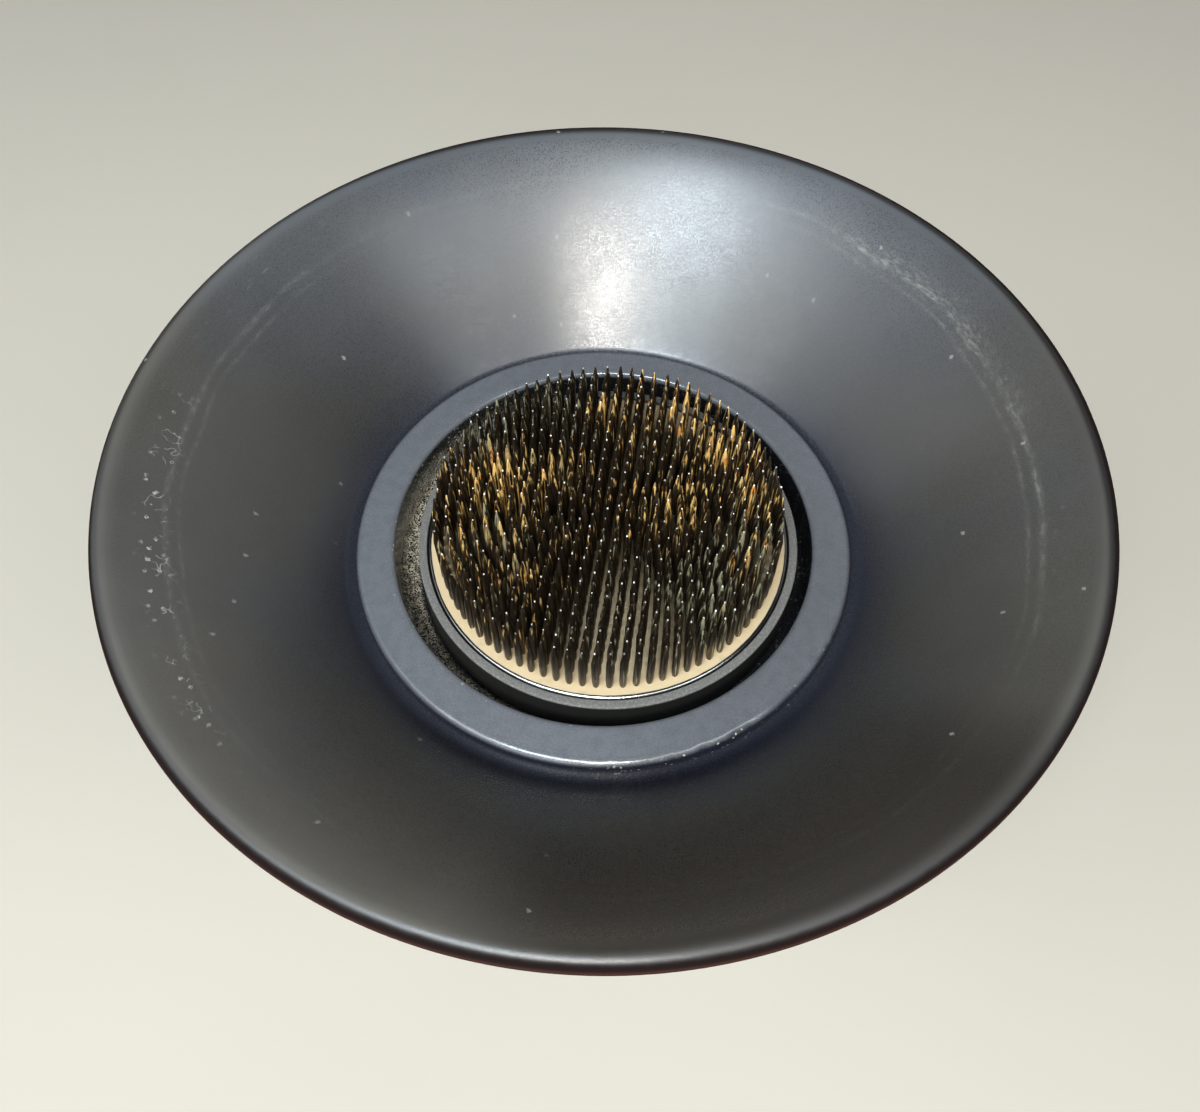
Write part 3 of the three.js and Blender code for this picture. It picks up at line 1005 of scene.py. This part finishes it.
@dataclass
class LowerBody:
    """The hollow body: mouth with a socket, throat, belly, ankle and spreading foot."""

    mouth_radius: float = 47 * MM
    mouth_level: float = 179.9 * MM
    mouth_round: float = 1.5 * MM
    socket_radius: float = 36.8 * MM
    socket_floor: float = 170.0 * MM
    throat: tuple[float, float] = (37 * MM, 147.9 * MM)
    belly: tuple[float, float] = (55 * MM, 99.95 * MM)
    ankle: tuple[float, float] = (33 * MM, 28 * MM)
    wall: float = 6 * MM
    floor: float = 14 * MM
    foot_radius: float = 55 * MM
    foot_height: float = 6 * MM
    ring_width: float = 11 * MM
    recess: float = 3 * MM
    segments: int = 256

    def _sweep(self, start: Array, end: Array, steps: int) -> Array:
        """A cubic Bezier curve that is upright at both ends, with both handles half way up."""
        half = np.array([0.0, (end[1] - start[1]) / 2])
        return bezier(start, half, end, half, steps)

    def outline(self) -> Array:
        """The body's section, from the axis under the foot up the outside and down the inside.

        Returns:
            Radius and height, one point a row.
        """
        throat, belly, ankle = (np.array(p) for p in (self.throat, self.belly, self.ankle))
        mouth = np.array([self.mouth_radius, self.mouth_level - self.mouth_round])
        edge = self.foot_height / 2
        foot_centre = np.array([self.foot_radius - edge, edge])
        heel = np.array([foot_centre[0], self.foot_height])
        waist = np.array([ankle[0], self.foot_height])
        foot = bezier(heel, (waist - heel) * 2 / 3, ankle, (ankle - waist) * 2 / 3, 24)
        outside = profile(
            self._sweep(ankle, belly, 48),
            self._sweep(belly, throat, 40),
            self._sweep(throat, mouth, 28),
        )
        inside = beside(outside, -self.wall)[::-1]
        inside = inside[(inside[:, 1] < self.socket_floor) & (inside[:, 1] > self.floor)]
        inside = inside[(inside[:, 0] < self.socket_radius) | (inside[:, 1] < throat[1])]
        ring_inner = self.foot_radius - self.ring_width
        return profile(
            (0.0, self.recess),
            (ring_inner * 0.4, self.recess), 4,
            (ring_inner - self.recess, self.recess), 3,
            (ring_inner, 0.0), 3,
            arc(foot_centre, edge, -90, 90, 20),
            foot,
            outside,
            corner((self.mouth_radius, self.mouth_level), self.mouth_round, 0, 90, 6), 3,
            (self.socket_radius, self.mouth_level), 3,
            (self.socket_radius, self.socket_floor),
            inside,
            (self.ankle[0] - 2 * self.wall, self.floor),
            (0.0, self.floor),
        )

    def build(self) -> bpy.types.Object:
        """The dressed body.

        Returns:
            The new piece.
        """
        body = turned(self.outline(), self.segments).make("body_glazed", Glaze(Wear.FOOT).build())
        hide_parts("lower_body")
        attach(body, "body")
        return body


@dataclass
class NeedleHolder:
    """The needle holder: lead plate, rubber ring and rings of tapered needles."""

    centre_x: float = 1.2 * MM
    base: float = 193.0 * MM
    top: float = 203 * MM
    plate_radius: float = 45.5 * MM
    plate_round: float = 1.0 * MM
    plate_bevel: float = 0.8 * MM
    rubber_inner: float = 45.65 * MM
    rubber_outer: float = 47.75 * MM
    rubber_foot: float = 191.5 * MM
    rubber_round: float = 0.45 * MM
    sole_inner: float = 38.5 * MM
    sole_top: float = 192.85 * MM
    needle_radius: float = 0.9 * MM
    needle_height: float = 16.4 * MM
    tip_length: float = 5 * MM
    tip_blunt: float = 0.17 * MM
    tip_end: float = 0.12 * MM
    # Length of the painted glint at each needle's tip.
    tip_glint: float = 0.62 * MM
    root: float = 0.5 * MM
    foot_share: float = 0.78
    shaft_share: float = 0.94
    taper_middle: tuple[float, float] = (0.62, 0.48)
    foot_rise: float = 2.4 * MM
    shortest: float = 0.35 * MM
    rings: int = 14
    sectors: int = 6
    margin: float = 3.5 * MM
    row_angle: float = 22
    sides: int = 8
    lean: float = 0.011
    bare_and_highlight_range: tuple[float, float] = (0.15, 1.20)
    bare_and_highlight_stray: float = 0.18
    hue_spread: float = 0.22
    few_bright: float = 1.6
    seed: int = 5
    segments: int = 300
    # Patches of needles with gold streaks, partly bare brass and partly painted highlight: centre x and
    # y and reach in millimetres, how bare, how olive.
    bare_and_highlight_places: tuple[tuple[float, float, float, float, float], ...] = (
        (-28, 8, 9, 1.0, 0.1),
        (-31, -8, 10, 1.0, 0.35),
        (-23, -17, 6, 0.8, 0.4),
        (-30, 24, 10, 0.6, 1.0),
        (-15, 12, 6, 0.85, 0.2),
        (-2, 31, 4, 1.0, 0.1),
        (-14, 33, 12, 0.35, 1.2),
        (6, 24, 6, 0.4, 0.3),
        (20, 29, 9, 1.05, 0.2),
        (30, 19, 8, 1.15, 0.1),
        (35, 6, 6, 0.9, 0.2),
        (17, 0, 8, 0.8, 0.25),
        (32, -10, 9, 0.8, 0.7),
        (24, -25, 12, 0.7, 1.0),
    )

    def _ring_points(self, ring: int, sector: int) -> Array:
        """The places of one ring's needles in one sector: even steps of angle at one radius.

        Args:
            ring: number of the ring, from 1 in the middle.
            sector: number of the sector, from 0.

        Returns:
            x and y from the holder's axis, one needle a row.
        """
        radius = ring * (self.plate_radius - self.margin) / self.rings
        step = 2 * np.pi / self.sectors
        angles = math.radians(self.row_angle) + step * (sector + np.arange(ring) / ring)
        return radius * np.column_stack((np.cos(angles), np.sin(angles)))

    def _template(self) -> Surface:
        """One needle: a round shaft drawn in at its foot, a slightly full taper and a blunt tip.

        Returns:
            The needle at the origin, its root below the plate's level.
        """
        wide = self.needle_radius
        shaft = self.needle_height - self.tip_length
        return turned(profile(
            (0.0, -self.root),
            (wide * self.foot_share, -self.root),
            (wide * self.foot_share, 0.0),
            (wide * self.shaft_share, self.foot_rise * 0.5),
            (wide, self.foot_rise),
            (wide, shaft),
            (wide * self.taper_middle[0], shaft + self.tip_length * self.taper_middle[1]),
            (self.tip_blunt, self.needle_height - self.tip_end),
            (0.0, self.needle_height),
        ), self.sides)

    def _needles(
        self,
        places: Array,
        name: str,
        random: np.random.Generator,
        finish: bpy.types.Material,
    ) -> bpy.types.Object:
        """Copies of the needle at the places, each turned and leaning a little: a point (x, y, z) of
        the template goes to place + turned (x, y) + lean times z. Each patch in
        bare_and_highlight_places gives its centre and reach in millimetres, how bare it is, with
        painted highlight, and how olive, and a needle takes the patch that reaches it most, by e to the
        power -(distance / reach) squared.

        Args:
            places: x and y from the holder's axis, one needle a row.
            name: the piece's name.
            random: the draws.
            finish: the needles' material.

        Returns:
            The new piece, with how bare each needle is, with painted highlight, how olive, and how
            strong the painted glint at its tip, in its attributes.
        """
        template = self._template()
        count, size = len(places), len(template.points)
        turn = random.uniform(0, 2 * np.pi, count)[:, None]
        lean = random.normal(0, self.lean, (count, 2))
        short = random.uniform(0.0, self.shortest, count)[:, None]
        x, y, z = (template.points[:, i][None] for i in range(3))
        height = z - short * (z > 0)
        points = np.stack((
            self.centre_x + places[:, :1] + x * np.cos(turn) - y * np.sin(turn) + lean[:, :1] * height,
            places[:, 1:] + x * np.sin(turn) + y * np.cos(turn) + lean[:, 1:] * height,
            self.top + height,
        ), axis=-1).reshape(-1, 3)
        offset = (np.arange(count) * size)[:, None, None]
        quads = (template.quads[None] + offset).reshape(-1, 4)
        triangles = (template.triangles[None] + offset).reshape(-1, 3)
        piece = Surface(points, quads, triangles).make(name, finish, crease=60)
        patches = np.array(self.bare_and_highlight_places)
        apart = np.linalg.norm(places[:, None] - patches[None, :, :2] * MM, axis=2)
        strength = patches[:, 3] * np.exp(-((apart / (patches[:, 2] * MM)) ** 2))
        bare = strength.max(axis=1) * random.uniform(*self.bare_and_highlight_range, count)
        bare += self.bare_and_highlight_stray * random.random(count)
        hue = patches[strength.argmax(axis=1), 4] + random.normal(0, self.hue_spread, count)
        # Painted glint: how strong the white dot at each tip is, strong on few needles.
        glint = random.random(count) ** self.few_bright
        for label, values in (("bare", bare), ("hue", hue), ("glint", glint)):
            layer = piece.data.attributes.new(label, "FLOAT", "POINT")
            layer.data.foreach_set("value", np.repeat(values, size).astype(np.float32))
        return piece

    def plate(self) -> bpy.types.Object:
        """The lead plate with its rounded upper edge.

        Returns:
            The new piece.
        """
        outline = profile(
            (0.0, self.base),
            (self.plate_radius - self.plate_bevel, self.base),
            (self.plate_radius, self.base + self.plate_bevel), 6,
            corner((self.plate_radius, self.top), self.plate_round, 0, 90, 10), 12,
            (self.plate_radius * 0.3, self.top),
            (0.0, self.top),
        )
        finish = PlateFinish(self.centre_x, self.plate_radius - self.plate_round)
        return turned(outline, self.segments, self.centre_x).make("kenzan_plate", finish.build())

    def rubber(self) -> bpy.types.Object:
        """The rubber ring with its rounded edges and its sole under the plate.

        Returns:
            The new piece.
        """
        edge = self.rubber_round
        outline = profile(
            (self.sole_inner, self.rubber_foot), 4,
            corner((self.rubber_outer, self.rubber_foot), edge, -90, 0, 5), 8,
            corner((self.rubber_outer, self.top), edge, 0, 90, 6),
            corner((self.rubber_inner, self.top), edge * 0.5, 90, 180, 4),
            (self.rubber_inner, self.top - edge), 6,
            (self.rubber_inner, self.sole_top), 3,
            (self.sole_inner, self.sole_top),
        )
        finish = RubberFinish(self.top)
        return turned(outline, self.segments, self.centre_x).make("kenzan_rubber", finish.build())

    def build(self) -> list[bpy.types.Object]:
        """The dressed needle holder.

        Returns:
            The new pieces.
        """
        finish = NeedleFinish(self.top + self.needle_height - self.tip_glint).build()
        random = np.random.default_rng(self.seed)
        plate, rubber = self.plate(), self.rubber()
        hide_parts("kenzan_lead_base")
        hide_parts("kenzan_rubber_ring")
        pieces = [plate, rubber]
        for sector in range(self.sectors):
            places = np.vstack([self._ring_points(ring, sector) for ring in range(1, self.rings + 1)])
            needles = self._needles(places, f"kenzan_pins_{sector + 1}", random, finish)
            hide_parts(f"kenzan_needles_{sector + 1}")
            pieces.append(needles)
        centre = self._needles(np.zeros((1, 2)), "kenzan_pin_centre", random, finish)
        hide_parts("kenzan_centre_needle")
        pieces.append(centre)
        for piece in pieces:
            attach(piece, "kenzan")
        return pieces


@dataclass(frozen=True)
class Lamp:
    """A square area lamp that points at the vase."""

    name: str
    place: tuple[float, float, float]
    size: float
    power: float
    colour: Colour = (1.0, 1.0, 1.0)
    target: tuple[float, float, float] = (0.0, 0.0, 0.21)

    def build(self) -> bpy.types.Object:
        """A lamp object with its size in metres and its power in watts.

        Returns:
            The new lamp.
        """
        data = bpy.data.lights.new(f"lamp_{self.name}", "AREA")
        data.size = self.size
        data.energy = self.power
        data.color = self.colour
        lamp = put(data.name, data)
        lamp.location = self.place
        aim = Vector(self.target) - Vector(self.place)
        lamp.rotation_euler = aim.to_track_quat("-Z", "Y").to_euler()
        return lamp


@dataclass
class Studio:
    """Plain pale floor, soft lamps and the camera at the photograph's viewing angle."""

    floor_radius: float = 2.4
    floor_depth: float = 20 * MM
    floor_colour: Colour = (0.505, 0.475, 0.41)
    floor_shade: Colour = (0.47, 0.44, 0.38)
    floor_glow: Colour = (0.262, 0.254, 0.236)
    glow_start: float = 0.75
    world_colour: Colour = (0.02, 0.02, 0.02)
    horizon_colour: Colour = (0.34, 0.33, 0.305)
    camera_place: tuple[float, float, float] = (0.0, -154.86 * MM, 438.10 * MM)
    camera_turn: tuple[float, float, float] = (32.290, -0.064, 0.405)
    sensor: float = 36.0
    focal: float = 33.384
    lamps: tuple[Lamp, ...] = (
        Lamp("lower", (0.0, -0.89, 1.25), 0.28, 15.8, (1.0, 0.965, 0.90)),
        Lamp("window", (-0.36, -0.70, 1.45), 0.46, 18.5, (0.80, 0.92, 1.0)),
        Lamp("front_right", (0.38, -0.80, 1.30), 0.40, 1.8, (0.95, 0.98, 1.0)),
        Lamp("left_front", (-0.80, -0.60, 1.25), 0.55, 5.2, (0.95, 0.98, 1.0)),
        Lamp("left", (-1.15, -0.30, 1.10), 0.60, 2.3, (0.90, 0.96, 1.0)),
        Lamp("right_front", (0.75, -0.60, 1.30), 0.50, 4.4, (0.94, 0.98, 1.0)),
        Lamp("left_low", (-1.40, 0.30, 0.75), 0.90, 3.3, (0.92, 0.96, 1.0)),
        Lamp("right_low", (1.20, 1.00, 0.75), 1.20, 2.4, (0.92, 0.96, 1.0)),
        Lamp("back", (0.30, 1.50, 0.80), 0.90, 1.4, (1.0, 0.93, 0.84)),
    )

    def floor(self) -> bpy.types.Object:
        """The round floor, faintly uneven in tone. Far out, where the lamps hardly reach, the camera
        and reflections see it as pale as the horizon behind it.

        Returns:
            The floor.
        """
        outline = profile(
            (0.0, -self.floor_depth), (self.floor_radius, -self.floor_depth),
            (self.floor_radius, 0.0), (0.0, 0.0),
        )
        graph = Graph(bpy.data.materials.new("studio_floor"))
        tone = graph.noise(0.25, 2.0).rise(0.3, 0.7)
        colour = graph.mix(tone * 0.3, self.floor_colour, self.floor_shade)
        far = Place(graph).radius.rise(self.glow_start, self.floor_radius)
        camera = graph.node("ShaderNodeLightPath", output="Is Camera Ray")
        glossy = Signal(graph, camera.socket.node.outputs["Is Glossy Ray"])
        glow = graph.mix(far * (camera + glossy), BLACK, self.floor_glow)
        material = graph.shade({
            "Base Color": colour, "Roughness": 0.85, "Emission Color": glow, "Emission Strength": 1.0,
        })
        floor = turned(outline, 96).make("studio_floor", material)
        return floor

    def world(self) -> None:
        """Surroundings that are pale at the horizon and dark above, by the direction's height."""
        bpy.context.scene.world = bpy.data.worlds.new("studio_world")
        graph = Graph(bpy.context.scene.world)
        ahead = graph.node("ShaderNodeTexCoord", output="Generated")
        height = graph.node("ShaderNodeSeparateXYZ", {0: ahead}, 2)
        pale = height.rise(0.50, 0.05)
        colour = graph.mix(pale, self.world_colour, self.horizon_colour)
        graph.finish(graph.node("ShaderNodeBackground", {0: colour}), "ShaderNodeOutputWorld")

    def camera(self) -> bpy.types.Object:
        """The camera, with the photograph's place, turn and lens.

        Returns:
            The new camera.
        """
        data = bpy.data.cameras.new("camera")
        data.sensor_width = self.sensor
        data.lens = self.focal
        data.clip_start = 0.01
        camera = put("camera", data)
        camera.location = self.camera_place
        camera.rotation_euler = tuple(math.radians(angle) for angle in self.camera_turn)
        bpy.context.scene.camera = camera
        return camera

    def build(self) -> None:
        """Sets up the floor, the surroundings, the lamps, the camera and the view transform."""
        self.floor()
        self.world()
        for lamp in self.lamps:
            lamp.build()
        self.camera()
        bpy.context.scene.view_settings.view_transform = "Standard"


def main() -> None:
    """Builds the vase and its studio."""
    logging.basicConfig(level=logging.INFO, format="%(name)s: %(message)s")
    Studio().build()
    pieces = [UpperDish().build(), LowerBody().build(), *NeedleHolder().build()]
    for piece in pieces:
        LOG.info("%s has %d faces", piece.name, len(piece.data.polygons))


if __name__ == "__main__":
    main()
